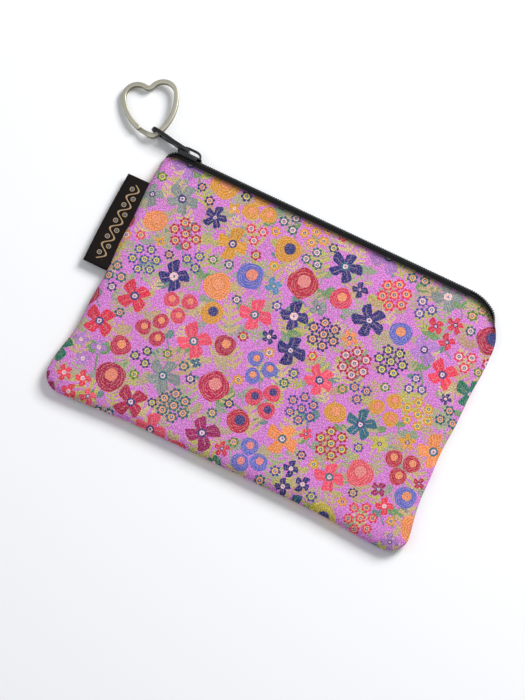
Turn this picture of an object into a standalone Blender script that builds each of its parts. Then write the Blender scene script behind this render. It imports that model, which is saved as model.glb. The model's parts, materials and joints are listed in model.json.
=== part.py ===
"""A flat zippered pouch, lying on its back and zipped shut, with a heart-shaped split ring on the pull.

+X runs along the zip towards its open end, +Y points out through the zip, +Z is up.
The origin is the middle of the back panel's flat outer face.
"""

import math

import bmesh
import bpy
from mathutils import Matrix, Vector

MM = 0.001
GAP = 0.15 * MM  # between stacked layers of cloth

# The pouch's outline
HALF_WIDTH = 88.3 * MM
CORNER_FLARE = 2.7 * MM  # the bottom corners stand out past the sides
SIDE_WAIST = 0.8 * MM  # the sides pull in halfway down
PANEL_TOP = 59.8 * MM  # the folded edge of the printed cloth beside the zip
BOTTOM = -61.6 * MM
CORNER_DROP = 2.0 * MM  # the bottom corners hang below the middle of the bottom seam
BOTTOM_RADIUS = 9 * MM
TOP_LEFT_RADIUS = 6 * MM
TOP_RIGHT_RADIUS = 20 * MM
EDGE_ROUND = 4.2 * MM  # how far in from a seam the cloth reaches its full height

# Thicknesses and heights
PANEL_THICK = 0.5 * MM
INTERLINING_THICK = 0.4 * MM
LINING_THICK = 0.35 * MM
TAPE_THICK = INTERLINING_THICK
ZIP_HEIGHT = 7.6 * MM  # the pouch's thickness beside the zip
BODY_HEIGHT = 6.9 * MM  # and over the rest of it
MID_HEIGHT = ZIP_HEIGHT / 2  # the seams and the middle of the zip

# Grid lines of the cloth: distances in from a side or bottom seam, and heights across the body
RIM_LINES = [0, 0.6 * MM, 1.8 * MM, EDGE_ROUND]
SIDE_LINES = RIM_LINES + [11 * MM, 28 * MM, 56 * MM]
BODY_LINES = [-50 * MM, -38 * MM, -16 * MM, 8 * MM, 34 * MM, 46 * MM]
TAPE_END = 50.2 * MM
LINING_TOP = 57.4 * MM
TOP_LINES = [TAPE_END - 0.4 * MM, LINING_TOP, PANEL_TOP]

# The zip: two coils side by side that face out of the mouth
ZIP_LINE = 63 * MM  # the coils' outer side
COIL_RADIUS = 0.92 * MM
COIL_SPREAD = 1.4 * MM  # from the middle of the zip to each coil's own middle
COIL_Y = ZIP_LINE - COIL_RADIUS
COIL_LEFT = -84.3 * MM
COIL_RIGHT = 67.5 * MM
COIL_LEFT_BEND = 2 * MM
COIL_RIGHT_BEND = 21 * MM
THREAD_RADIUS = 0.18 * MM

# The slider and its bridge
SLIDER_LEFT = -83.9 * MM
SLIDER_LENGTH = 12.4 * MM
PLATE_THICK = 0.8 * MM
OUTER_PLATE_Y = ZIP_LINE + 0.15 * MM
OUTER_PLATE_WIDTH = 6.8 * MM
INNER_PLATE_WIDTH = 4.7 * MM
INNER_PLATE_Y = 58.6 * MM
FLANGE_THICK = 0.5 * MM
FLANGE_DEPTH = 1.5 * MM
POST_THICK = 0.6 * MM
BRIDGE_THICK = 1.8 * MM
BRIDGE_HEIGHT = 3.3 * MM  # above the outer plate

# The pull and its eye
HINGE = Vector((-79.3 * MM, 65.15 * MM, MID_HEIGHT))
PULL_TURN = math.radians(8.5)  # how far the pull stands off the line of the zip
PULL_THICK = 1.5 * MM
PULL_WIDTH = 6.4 * MM
EYE_REACH = 16.6 * MM  # from the hinge to the eye
EYE_RADIUS = 2.3 * MM
HINGE_BAR_HALF = 0.6 * MM
SLOT_HALF = 1.5 * MM
SLOT_NEAR = HINGE_BAR_HALF
SLOT_FAR = 4.9 * MM

# The heart ring
RING_BAND = 2.2 * MM
RING_THICK = 2.4 * MM  # two turns of wire
RING_HALF_WIDTH = 12.4 * MM
RING_TIP_ANGLE = math.radians(60)  # each flank's angle to the heart's own axis where it leaves the tip
RING_TIP_RADIUS = 2.2 * MM
RING_LOBE_RADIUS = 6.35 * MM
RING_NOTCH_DEPTH = 2.5 * MM
RING_EYE_AT = math.radians(55)  # the flank's angle where it passes through the eye
RING_TURN = math.radians(31)  # how far the heart is turned from pointing straight out of the zip
RING_TILT = math.radians(4.6)  # its far side lies lower than the eye
FLANK_STEPS = 12
LOBE_STEPS = 16

# The folded label in the left seam
LABEL_LEFT = -98.3 * MM
LABEL_RIGHT = -89.1 * MM
LABEL_BOTTOM = -2.4 * MM
LABEL_TOP = 41.6 * MM
LABEL_THICK = 0.9 * MM


def clear_scene():
    for thing in list(bpy.data.objects):
        bpy.data.objects.remove(thing, do_unlink=True)


def new_collection(name, hidden=False):
    made = bpy.data.collections.new(name)
    bpy.context.scene.collection.children.link(made)
    made.hide_render = hidden
    return made


def finish(name, data, colour, roughness, metallic=0.0):
    """Links an object for the mesh or curve, with its own material."""
    material = bpy.data.materials.new(name + "_finish")
    material.use_nodes = True
    shader = material.node_tree.nodes["Principled BSDF"]
    shader.inputs["Base Color"].default_value = (*colour, 1)
    shader.inputs["Roughness"].default_value = roughness
    shader.inputs["Metallic"].default_value = metallic
    data.materials.append(material)
    made = bpy.data.objects.new(name, data)
    pouch.objects.link(made)
    return made


def smooth_step(value):
    value = min(max(value, 0.0), 1.0)
    return value * value * (3 - 2 * value)


def half_width_at(y):
    """The sides draw in a little at the waist and flare towards the bottom corners."""
    flare = smooth_step((-30 * MM - y) / (28 * MM))
    waist = 1 - smooth_step(abs(y + 10 * MM) / (45 * MM))
    return HALF_WIDTH + CORNER_FLARE * flare - SIDE_WAIST * waist


def bottom_at(x):
    return BOTTOM - CORNER_DROP * smooth_step((abs(x) - 40 * MM) / (40 * MM))


def round_corner(side, rise, radius):
    """Turns a square corner's distances in from its two edges into those of a quarter circle."""
    if side >= radius or rise >= radius:
        return side, rise
    s = 1 - side / radius
    t = 1 - rise / radius
    return (
        radius * (1 - s * math.sqrt(1 - t * t / 2)),
        radius * (1 - t * math.sqrt(1 - s * s / 2)),
    )


def seam_distance(side, rise, radius):
    if side >= radius or rise >= radius:
        return min(side, rise)
    return radius - math.hypot(radius - side, radius - rise)


def edge_height(distance):
    """A quarter ellipse: 0 on the seam, 1 from EDGE_ROUND inwards."""
    t = 1 - min(max(distance / EDGE_ROUND, 0.0), 1.0)
    return math.sqrt(max(1 - t * t, 0.0))


def cloth_columns():
    """(side, distance in) for each grid line across the pouch, from left to right."""
    left = [(-1, step) for step in SIDE_LINES]
    right = [(1, step) for step in reversed(SIDE_LINES)]
    return left + [(0, 0)] + right


def cloth_rows():
    """(from the bottom seam?, distance or height) for each grid line, from bottom to top."""
    return [(True, step) for step in RIM_LINES] + [
        (False, y) for y in BODY_LINES + TOP_LINES
    ]


def cloth_point(column, row):
    """The place of a grid crossing, and how far it has risen from the seam's height to the cloth's."""
    side, step = column
    from_seam, amount = row
    x = side * (HALF_WIDTH - step)
    bottom = bottom_at(x)
    y = bottom + amount if from_seam else amount
    inward = step if side else HALF_WIDTH
    top_radius = TOP_LEFT_RADIUS if side < 0 else TOP_RIGHT_RADIUS
    inward, rise = round_corner(inward, y - bottom, BOTTOM_RADIUS)
    y = bottom + rise
    inward, fall = round_corner(inward, PANEL_TOP - y, top_radius)
    y = PANEL_TOP - fall
    half = half_width_at(y)
    if side:
        x = side * (half - inward)
    distance = seam_distance(inward, y - bottom, BOTTOM_RADIUS)
    return x, y, edge_height(distance)


def full_height(y):
    """The pouch's thickness away from its seams."""
    zip_share = smooth_step((y - 34 * MM) / (12 * MM))
    return BODY_HEIGHT + (ZIP_HEIGHT - BODY_HEIGHT) * zip_share


def cloth_layer(name, front, depth, thick, rim, top_rows, colour, roughness):
    """One layer of the bag, a grid pulled to shape and extruded upwards by the cloth's thickness.

    depth is how far it lies under the bag's outer face, rim how many grid lines it stops short of
    the seams, and top_rows how many it stops short of the panel's folded edge.
    """
    columns = cloth_columns()[rim : len(cloth_columns()) - rim]
    rows = cloth_rows()[rim : len(cloth_rows()) - top_rows]
    mesh = bmesh.new()
    bmesh.ops.create_grid(
        mesh, x_segments=len(columns) - 1, y_segments=len(rows) - 1, size=0.5
    )
    for vertex in mesh.verts:
        column = columns[round((vertex.co.x + 0.5) * (len(columns) - 1))]
        row = rows[round((vertex.co.y + 0.5) * (len(rows) - 1))]
        x, y, risen = cloth_point(column, row)
        if front:
            low_rim = MID_HEIGHT + GAP
            low_full = full_height(y) - depth - thick
        else:
            low_rim = MID_HEIGHT - GAP - thick
            low_full = depth
        vertex.co = (x, y, low_rim + (low_full - low_rim) * risen)
    made = bmesh.ops.extrude_face_region(mesh, geom=list(mesh.faces))
    for vertex in made["geom"]:
        if isinstance(vertex, bmesh.types.BMVert):
            vertex.co.z += thick
    bmesh.ops.recalc_face_normals(mesh, faces=mesh.faces)
    data = bpy.data.meshes.new(name)
    mesh.to_mesh(data)
    mesh.free()
    data.shade_smooth()
    data.set_sharp_from_angle(angle=math.radians(35))
    return finish(name, data, colour, roughness)


def make_bag():
    under_panel = PANEL_THICK + GAP
    under_interlining = under_panel + INTERLINING_THICK + GAP
    rim = len(RIM_LINES) - 1
    for side, front in (("front", True), ("back", False)):
        cloth_layer(side + "_panel", front, 0, PANEL_THICK, 0, 0, (0.75, 0.27, 0.55), 0.85)
        cloth_layer(
            side + "_interlining", front, under_panel, INTERLINING_THICK, rim, 2, (0.85, 0.84, 0.8), 0.9
        )
        cloth_layer(
            side + "_lining", front, under_interlining, LINING_THICK, rim, 1, (0.05, 0.05, 0.06), 0.8
        )


def extruded_mesh(name, profile, left, right, colour, roughness):
    """A closed outline in the YZ plane carried from left to right along X."""
    mesh = bmesh.new()
    ring = [mesh.verts.new((left, y, z)) for y, z in profile]
    face = mesh.faces.new(ring)
    made = bmesh.ops.extrude_face_region(mesh, geom=[face])
    for vertex in made["geom"]:
        if isinstance(vertex, bmesh.types.BMVert):
            vertex.co.x = right
    bmesh.ops.recalc_face_normals(mesh, faces=mesh.faces)
    data = bpy.data.meshes.new(name)
    mesh.to_mesh(data)
    mesh.free()
    return finish(name, data, colour, roughness)


def make_tape(name, way):
    """The tape leaves the coil sideways, turns and runs down between panel and lining."""
    outside = MID_HEIGHT - PANEL_THICK - GAP
    inside = outside - TAPE_THICK
    coil_side = COIL_SPREAD - 0.5 * MM
    under_coil = COIL_Y - COIL_RADIUS - GAP
    profile = [
        (under_coil, coil_side),
        (under_coil, inside),
        (under_coil - 0.5 * MM, outside),
        (TAPE_END, outside),
        (TAPE_END, inside),
        (under_coil - TAPE_THICK - 0.25 * MM, inside),
        (under_coil - TAPE_THICK, inside - 0.3 * MM),
        (under_coil - TAPE_THICK, coil_side),
    ]
    placed = [(y, MID_HEIGHT + way * z) for y, z in profile]
    extruded_mesh(name, placed, COIL_LEFT + 0.5 * MM, COIL_RIGHT + 2 * MM, (0.01, 0.01, 0.012), 0.8)


def tube(name, points, radius, colour, roughness, rings=2):
    """A wire through the points, with filled ends."""
    data = bpy.data.curves.new(name, "CURVE")
    data.dimensions = "3D"
    data.bevel_depth = radius
    data.bevel_resolution = rings
    data.use_fill_caps = True
    spline = data.splines.new("POLY")
    spline.points.add(len(points) - 1)
    for point, place in zip(spline.points, points):
        point.co = (*place, 1)
    return finish(name, data, colour, roughness)


def arc_points(centre, radius, start, end, steps):
    angles = [math.radians(start + (end - start) * i / steps) for i in range(steps + 1)]
    return [
        (centre[0] + radius * math.cos(a), centre[1] + radius * math.sin(a)) for a in angles
    ]


def coil_path(z):
    """Straight along the mouth, then down into the side seam at both ends."""
    left = arc_points((COIL_LEFT, COIL_Y - COIL_LEFT_BEND), COIL_LEFT_BEND, 200, 90, 4)
    right = arc_points((COIL_RIGHT, COIL_Y - COIL_RIGHT_BEND), COIL_RIGHT_BEND, 90, 45, 8)
    return [(x, y, z) for x, y in left + right]


def make_zip():
    for side, way in (("front", 1), ("back", -1)):
        z = MID_HEIGHT + way * COIL_SPREAD
        make_tape(side + "_zip_tape", way)
        tube(side + "_zip_coil", coil_path(z), COIL_RADIUS, (0.012, 0.012, 0.014), 0.4)
        thread_z = MID_HEIGHT + way * (COIL_SPREAD + COIL_RADIUS - 0.05 * MM)
        thread_y = COIL_Y - COIL_RADIUS + THREAD_RADIUS + 0.1 * MM
        ends = (COIL_LEFT + 0.5 * MM, COIL_RIGHT)
        thread = [(x, thread_y, thread_z) for x in ends]
        tube(side + "_coil_thread", thread, THREAD_RADIUS, (0.02, 0.02, 0.02), 0.7)


def make_seam_thread():
    """The lockstitch that closes the bag, down the left side, along the bottom and up the right."""
    inset = 1.5 * MM
    low = BOTTOM - CORNER_DROP
    left = [(-half_width_at(y) + inset, y) for y in (44 * MM, 20 * MM, -10 * MM, -30 * MM, -42 * MM)]
    right = [(-x, y) for x, y in reversed(left)]
    reach = half_width_at(low) - BOTTOM_RADIUS
    corner = BOTTOM_RADIUS - inset
    left_corner = arc_points((-reach, low + BOTTOM_RADIUS), corner, 180, 270, 6)
    right_corner = arc_points((reach, low + BOTTOM_RADIUS), corner, 270, 360, 6)
    middle = [(x, bottom_at(x) + inset) for x in (-60 * MM, -40 * MM, 0, 40 * MM, 60 * MM)]
    route = left + left_corner + middle + right_corner + right
    tube("bag_seam_thread", [(x, y, MID_HEIGHT) for x, y in route], 0.2 * MM, (0.6, 0.5, 0.6), 0.7)


def box(name, low, high, collection):
    """A box from its two opposite corners."""
    low = Vector(low)
    high = Vector(high)
    mesh = bmesh.new()
    bmesh.ops.create_cube(mesh, size=1)
    bmesh.ops.scale(mesh, vec=high - low, verts=mesh.verts)
    bmesh.ops.translate(mesh, vec=(low + high) / 2, verts=mesh.verts)
    data = bpy.data.meshes.new(name)
    mesh.to_mesh(data)
    mesh.free()
    made = bpy.data.objects.new(name, data)
    collection.objects.link(made)
    made.display_type = "WIRE"
    made.hide_render = True
    return made


def join(target, other, operation="UNION"):
    step = target.modifiers.new(operation.title() + "_" + other.name, "BOOLEAN")
    step.operation = operation
    step.object = other
    step.solver = "EXACT"


def flat_outline(name, loops, half_thick):
    """A mesh made from a flat curve of closed loops, with its caps welded."""
    data = bpy.data.curves.new(name, "CURVE")
    data.dimensions = "2D"
    data.fill_mode = "BOTH"
    data.extrude = half_thick
    for loop in loops:
        spline = data.splines.new("POLY")
        spline.points.add(len(loop) - 1)
        for point, (x, y) in zip(spline.points, loop):
            point.co = (x, y, 0, 1)
        spline.use_cyclic_u = True
    guide = bpy.data.objects.new(name + "_guide", data)
    cutters.objects.link(guide)
    bpy.context.view_layer.update()
    evaluated = guide.evaluated_get(bpy.context.evaluated_depsgraph_get())
    mesh_data = bpy.data.meshes.new_from_object(evaluated)
    mesh = bmesh.new()
    mesh.from_mesh(mesh_data)
    bmesh.ops.remove_doubles(mesh, verts=mesh.verts, dist=1e-6)
    bmesh.ops.recalc_face_normals(mesh, faces=mesh.faces)
    mesh.to_mesh(mesh_data)
    mesh.free()
    bpy.data.objects.remove(guide)
    mesh_data.name = name
    mesh_data.materials.clear()
    return mesh_data


def bridge_outline():
    """The arch over the outer plate, whose right-hand foot stops just short of the plate."""
    base = OUTER_PLATE_Y + PLATE_THICK - 0.2 * MM
    top = OUTER_PLATE_Y + PLATE_THICK + BRIDGE_HEIGHT
    left = SLIDER_LEFT + 0.8 * MM
    right = left + 10.8 * MM
    strap = 1.0 * MM
    foot = base + 0.55 * MM
    outer = [(left, base), (left, top - 1.7 * MM), (left + 1.1 * MM, top - 0.6 * MM)]
    outer += [(left + 3.4 * MM, top), (right - 3.2 * MM, top), (right - 1.1 * MM, top - 0.8 * MM)]
    outer += [(right, top - 2.1 * MM), (right, foot), (right - strap, foot)]
    inner = [(right - strap, top - 2.0 * MM), (right - 2.0 * MM, top - strap - 0.5 * MM)]
    inner += [(right - 3.4 * MM, top - strap), (left + 3.4 * MM, top - strap)]
    inner += [(left + 1.7 * MM, top - strap - 0.5 * MM), (left + 1.1 * MM, top - strap - 1.1 * MM)]
    inner += [(left + 1.1 * MM, base)]
    return outer + inner


def make_slider():
    right = SLIDER_LEFT + SLIDER_LENGTH
    half_outer = OUTER_PLATE_WIDTH / 2
    half_inner = INNER_PLATE_WIDTH / 2
    outer_low = (SLIDER_LEFT, OUTER_PLATE_Y, MID_HEIGHT - half_outer)
    outer_high = (right, OUTER_PLATE_Y + PLATE_THICK, MID_HEIGHT + half_outer)
    body = box("slider_body_plate", outer_low, outer_high, cutters)
    data = body.data
    bpy.data.objects.remove(body)
    slider = finish("slider_body", data, (0.012, 0.012, 0.013), 0.35)
    inner_low = (SLIDER_LEFT + 0.2 * MM, INNER_PLATE_Y, MID_HEIGHT - half_inner)
    inner_high = (right - 0.2 * MM, INNER_PLATE_Y + PLATE_THICK, MID_HEIGHT + half_inner)
    join(slider, box("inner_plate", inner_low, inner_high, cutters))
    post_low = (SLIDER_LEFT + 0.6 * MM, INNER_PLATE_Y + 0.1 * MM, MID_HEIGHT - POST_THICK / 2)
    post_high = (SLIDER_LEFT + 2.6 * MM, OUTER_PLATE_Y + 0.1 * MM, MID_HEIGHT + POST_THICK / 2)
    join(slider, box("post", post_low, post_high, cutters))
    for way in (-1, 1):
        edges = sorted((way * half_outer, way * (half_outer - FLANGE_THICK)))
        flange_low = (SLIDER_LEFT, OUTER_PLATE_Y - FLANGE_DEPTH, MID_HEIGHT + edges[0])
        flange_high = (right, OUTER_PLATE_Y + 0.1 * MM, MID_HEIGHT + edges[1])
        name = "upper_flange" if way > 0 else "lower_flange"
        join(slider, box(name, flange_low, flange_high, cutters))
    arch = bpy.data.objects.new("arch", flat_outline("arch", [bridge_outline()], BRIDGE_THICK / 2))
    cutters.objects.link(arch)
    arch.location.z = MID_HEIGHT
    arch.display_type = "WIRE"
    arch.hide_render = True
    join(slider, arch)


def pull_outline():
    """The pull seen from its face: a rounded bar, wider round the eye."""
    half_hinge = 2.6 * MM
    half_tip = PULL_WIDTH / 2
    tip_centre = (EYE_REACH + 0.6 * MM, 0)
    tip = arc_points(tip_centre, half_tip, -90, 90, 12)
    hinge_end = [(-HINGE_BAR_HALF, half_hinge), (-HINGE_BAR_HALF, -half_hinge)]
    lower = [(SLOT_FAR + 0.8 * MM, -half_hinge), (EYE_REACH - 4.5 * MM, -half_tip)]
    upper = [(x, -y) for x, y in reversed(lower)]
    return hinge_end + lower + tip + upper


def make_pull():
    """The flat outline stood on edge across the zip, pointing past the zip's closed end."""
    slot = [(SLOT_NEAR, -SLOT_HALF), (SLOT_FAR, -SLOT_HALF), (SLOT_FAR, SLOT_HALF), (SLOT_NEAR, SLOT_HALF)]
    eye = arc_points((EYE_REACH, 0), EYE_RADIUS, 0, 345, 23)
    data = flat_outline("pull_tab", [pull_outline(), slot, eye], PULL_THICK / 2)
    pull = finish("pull_tab", data, (0.012, 0.012, 0.013), 0.35)
    stand = Matrix.Rotation(math.radians(90), 4, "X")
    point = Matrix.Rotation(math.pi - PULL_TURN, 4, "Z")
    pull.matrix_world = Matrix.Translation(HINGE) @ point @ stand


def heart_half():
    """The right half of the heart's middle line from its tip to its notch, and the point inside the eye.

    The origin is the tip. Four arcs follow one another, each tangent to the next: the tip, a long
    flank, a lobe that is most of a half circle, and the notch.
    """
    angle = RING_TIP_ANGLE
    flank = (RING_HALF_WIDTH - RING_TIP_RADIUS * math.cos(angle)) / (1 - math.cos(angle))
    level = RING_TIP_RADIUS * (1 - math.sin(angle)) + flank * math.sin(angle)
    lobe_x = RING_HALF_WIDTH - RING_LOBE_RADIUS
    low = RING_LOBE_RADIUS - RING_NOTCH_DEPTH
    notch = (lobe_x**2 + low**2 - RING_LOBE_RADIUS**2) / (2 * RING_NOTCH_DEPTH)
    meet = math.degrees(math.atan2(low + notch, lobe_x))
    tip_end = -math.degrees(angle)
    flank_centre = (RING_HALF_WIDTH - flank, level)
    route = arc_points((0, RING_TIP_RADIUS), RING_TIP_RADIUS, -90, tip_end, 3)
    route += arc_points(flank_centre, flank, tip_end, 0, FLANK_STEPS)[1:]
    route += arc_points((lobe_x, level), RING_LOBE_RADIUS, 0, 180 - meet, LOBE_STEPS)[1:]
    route += arc_points((0, level + low + notch), notch, -meet, -90, 4)[1:]
    at_eye = arc_points(flank_centre, flank, -math.degrees(RING_EYE_AT), 0, 1)[0]
    return route, at_eye


def heart_loop():
    half, _ = heart_half()
    return half + [(-x, y) for x, y in reversed(half[1:-1])]


def offset_loop(loop, amount):
    """The loop moved outwards by amount, square to its own direction at each point."""
    moved = []
    for i, (x, y) in enumerate(loop):
        before = Vector(loop[i - 1])
        after = Vector(loop[(i + 1) % len(loop)])
        along = (after - before).normalized()
        moved.append((x + along.y * amount, y - along.x * amount))
    return moved


def eye_centre():
    direction = Vector((math.cos(math.pi - PULL_TURN), math.sin(math.pi - PULL_TURN), 0))
    return HINGE + EYE_REACH * direction


def make_ring():
    """The heart laid flat with its right flank through the pull's eye, its far side tipped down."""
    loop = heart_loop()
    outer = offset_loop(loop, RING_BAND / 2)
    inner = offset_loop(loop, -RING_BAND / 2)
    data = flat_outline("heart_ring", [outer, inner], RING_THICK / 2)
    _, at_eye = heart_half()
    inside_eye = Vector((*at_eye, 0))
    data.transform(Matrix.Translation(-inside_eye))
    ring = finish("heart_ring", data, (0.5, 0.48, 0.42), 0.35, 1.0)
    tilt = Matrix.Rotation(-RING_TILT, 4, "Y")
    turn = Matrix.Rotation(RING_TURN, 4, "Z")
    ring.matrix_world = Matrix.Translation(eye_centre()) @ tilt @ turn


def make_label():
    low = (LABEL_LEFT, LABEL_BOTTOM, MID_HEIGHT - LABEL_THICK / 2)
    high = (LABEL_RIGHT, LABEL_TOP, MID_HEIGHT + LABEL_THICK / 2)
    made = box("label_blank", low, high, cutters)
    data = made.data
    bpy.data.objects.remove(made)
    finish("side_label", data, (0.02, 0.012, 0.01), 0.85)


clear_scene()
pouch = new_collection("zippered_pouch")
cutters = new_collection("cutters", hidden=True)
make_bag()
make_zip()
make_seam_thread()
make_slider()
make_pull()
make_ring()
make_label()
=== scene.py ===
import json
import math
from functools import partial
import bmesh
import bpy
import numpy as np
from mathutils import Matrix, Vector


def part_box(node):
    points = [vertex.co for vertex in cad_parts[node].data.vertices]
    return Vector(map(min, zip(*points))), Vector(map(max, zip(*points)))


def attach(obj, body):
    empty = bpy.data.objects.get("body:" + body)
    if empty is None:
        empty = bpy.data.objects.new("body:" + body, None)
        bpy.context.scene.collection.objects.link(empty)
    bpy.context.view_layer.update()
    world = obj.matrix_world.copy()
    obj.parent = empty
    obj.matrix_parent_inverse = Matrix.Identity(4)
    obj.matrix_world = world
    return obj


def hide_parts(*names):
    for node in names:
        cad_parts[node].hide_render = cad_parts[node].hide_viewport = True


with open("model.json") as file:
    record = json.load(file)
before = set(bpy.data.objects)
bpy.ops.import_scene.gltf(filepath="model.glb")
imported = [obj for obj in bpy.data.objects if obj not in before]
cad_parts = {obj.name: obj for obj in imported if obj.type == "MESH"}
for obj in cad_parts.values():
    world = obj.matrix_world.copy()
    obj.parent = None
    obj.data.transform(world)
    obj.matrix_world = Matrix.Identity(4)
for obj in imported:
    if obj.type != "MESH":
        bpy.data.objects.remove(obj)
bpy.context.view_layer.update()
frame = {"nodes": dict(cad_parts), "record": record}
mm = 0.001
joints = {joint["name"]: joint for joint in frame["record"]["behaviour"]["joints"]}
hinge = Vector(joints["pull_swing"]["pos_m"])
eye = Vector(joints["ring_flip"]["pos_m"])
midHeight = hinge.z


def smoothStep(value):  # 3t^2 - 2t^3, held at 0 and 1 outside
    value = np.clip(value, 0, 1)
    return value * value * (3 - 2 * value)


def linear(hexColour):  # an sRGB hex value turned to linear light
    parts = [int(hexColour[i : i + 2], 16) / 255 for i in (1, 3, 5)]
    return [p / 12.92 if p <= 0.04045 else ((p + 0.055) / 1.055) ** 2.4 for p in parts] + [1]


def gridFaces(rows, columns, aroundRows=False, aroundColumns=False):
    # each cell's four corners, row by row; a grid that closes on itself also joins its last line to its first
    r = np.arange(rows if aroundRows else rows - 1)
    c = np.arange(columns if aroundColumns else columns - 1)
    r, c = [a.ravel() for a in np.meshgrid(r, c, indexing="ij")]
    nextR, nextC = (r + 1) % rows, (c + 1) % columns
    return np.stack([r * columns + c, r * columns + nextC, nextR * columns + nextC, nextR * columns + c], 1)


def putMesh(name, points, faces, place=None, sharp=40):
    # points as rows of x, y, z; faces as lists of corner numbers; place is the pattern's own coordinates
    mesh = bpy.data.meshes.new(name)
    mesh.from_pydata(np.asarray(points).tolist(), [], [list(map(int, f)) for f in faces])
    if place is not None:
        mesh.attributes.new("clothPlace", "FLOAT_VECTOR", "POINT").data.foreach_set("vector", place.ravel())
    mesh.shade_smooth()
    if sharp:
        mesh.set_sharp_from_angle(angle=math.radians(sharp))
    made = bpy.data.objects.new(name, mesh)
    bpy.context.scene.collection.objects.link(made)
    return made


def joined(parts):
    # several (points, faces) put one after another into one list of each
    points, faces, start = [], [], 0
    for p, f in parts:
        points.append(np.asarray(p))
        faces += [[int(i) + start for i in face] for face in f]
        start += len(p)
    return np.concatenate(points), faces


def sweep(path, profile, up, closed=False):
    # the profile's (across, up) points carried along the path, square to its direction:
    # point = path + across * side + height * top, with side = direction x up and top = side x direction
    path = np.asarray(path, float)
    ahead = np.roll(path, -1, 0) - np.roll(path, 1, 0)
    if not closed:
        ahead[0], ahead[-1] = path[1] - path[0], path[-1] - path[-2]
    ahead /= np.linalg.norm(ahead, axis=1)[:, None]
    side = np.cross(ahead, np.broadcast_to(up, path.shape))
    side /= np.linalg.norm(side, axis=1)[:, None]
    top = np.cross(side, ahead)
    profile = np.asarray(profile, float)
    if profile.ndim == 2:
        profile = np.broadcast_to(profile, (len(path), *profile.shape))
    points = path[:, None] + profile[:, :, :1] * side[:, None] + profile[:, :, 1:] * top[:, None]
    count = profile.shape[1]
    faces = gridFaces(len(path), count, aroundRows=closed, aroundColumns=True).tolist()
    if not closed:
        faces += [list(range(count))[::-1], list(range((len(path) - 1) * count, len(path) * count))]
    return points.reshape(-1, 3), faces


def roundedRect(width, height, radius, steps=4):
    # four quarter circles joined by straight sides, anticlockwise
    corners = []
    for k, (sx, sy) in enumerate(((1, 1), (-1, 1), (-1, -1), (1, -1))):
        a = math.pi / 2 * (k + np.linspace(0, 1, steps + 1))
        x = sx * (width / 2 - radius) + radius * np.cos(a)
        y = sy * (height / 2 - radius) + radius * np.sin(a)
        corners.append(np.stack([x, y], 1))
    return np.concatenate(corners)


def moved(points, move):  # turn * point + shift
    move = np.array(move)
    return points @ move[:3, :3].T + move[:3, 3]


def slab(outline, low, high, rounding, toWorld):
    # an outline given a thickness: rings at each height, drawn in by rounding * (1 - sin) near both faces
    outline = np.asarray(outline, float)
    ahead = np.roll(outline, -1, 0) - np.roll(outline, 1, 0)
    ahead /= np.linalg.norm(ahead, axis=1)[:, None]
    outward = np.stack([ahead[:, 1], -ahead[:, 0]], 1)
    a = np.linspace(0, math.pi / 2, 4)
    drawIn = np.concatenate([rounding * (1 - np.sin(a)), rounding * (1 - np.cos(a))])
    heights = np.concatenate([low + rounding * (1 - np.cos(a)), high - rounding * (1 - np.sin(a))])
    flat = outline[None] - drawIn[:, None, None] * outward[None]
    points = np.concatenate([flat, np.broadcast_to(heights[:, None, None], (*flat.shape[:2], 1))], 2)
    count = len(outline)
    faces = gridFaces(len(heights), count, aroundColumns=True).tolist()
    faces += [list(range(count))[::-1], list(range((len(heights) - 1) * count, len(heights) * count))]
    return toWorld(points.reshape(-1, 3)), faces


def finishPiece(piece, body, slot, material, *nodes):  # its material, its body and the solid it stands for
    piece.data.materials.clear()
    piece.data.materials.append(material)
    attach(piece, body)
    if nodes:
        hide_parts(*nodes)
    return piece


def newMaterial(name):  # a material, its node tree and its shader
    material = bpy.data.materials.new(name)
    material.use_nodes = True
    return material, material.node_tree, material.node_tree.nodes["Principled BSDF"]


def add(tree, kind, *inputs, **settings):
    # one node with its settings; a kind in capitals is a Math operation. Inputs come in order, or in a
    # dictionary by number or name, as values, as sockets, or as nodes whose first output is taken
    made = tree.nodes.new("ShaderNode" + ("Math" if kind.isupper() else kind))
    if kind.isupper():
        made.operation = kind
    for key, value in settings.items():
        setattr(made, key, value)
    given = inputs[0] if inputs and isinstance(inputs[0], dict) else dict(enumerate(inputs))
    for key, value in given.items():
        if isinstance(value, bpy.types.Node):
            value = value.outputs[0]
        if isinstance(value, bpy.types.NodeSocket):
            tree.links.new(value, made.inputs[key])
        else:
            made.inputs[key].default_value = value
    return made


def surface(tree, shader, colour, share, roughness, *bump):
    # what every finish has: its colour, a roughness that runs between two values with a share, and a bump
    # where one is given as height, strength and depth
    rough = add(tree, "MapRange", {0: share, 3: roughness[0], 4: roughness[1]})
    made = {"Base Color": colour, "Roughness": rough.outputs[0]}
    if bump:
        height, strength, depth = bump
        raised = add(tree, "Bump", {"Strength": strength, "Distance": depth, "Height": height})
        made["Normal"] = raised.outputs[0]
    for socket, value in made.items():
        tree.links.new(value, shader.inputs[socket])


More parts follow.
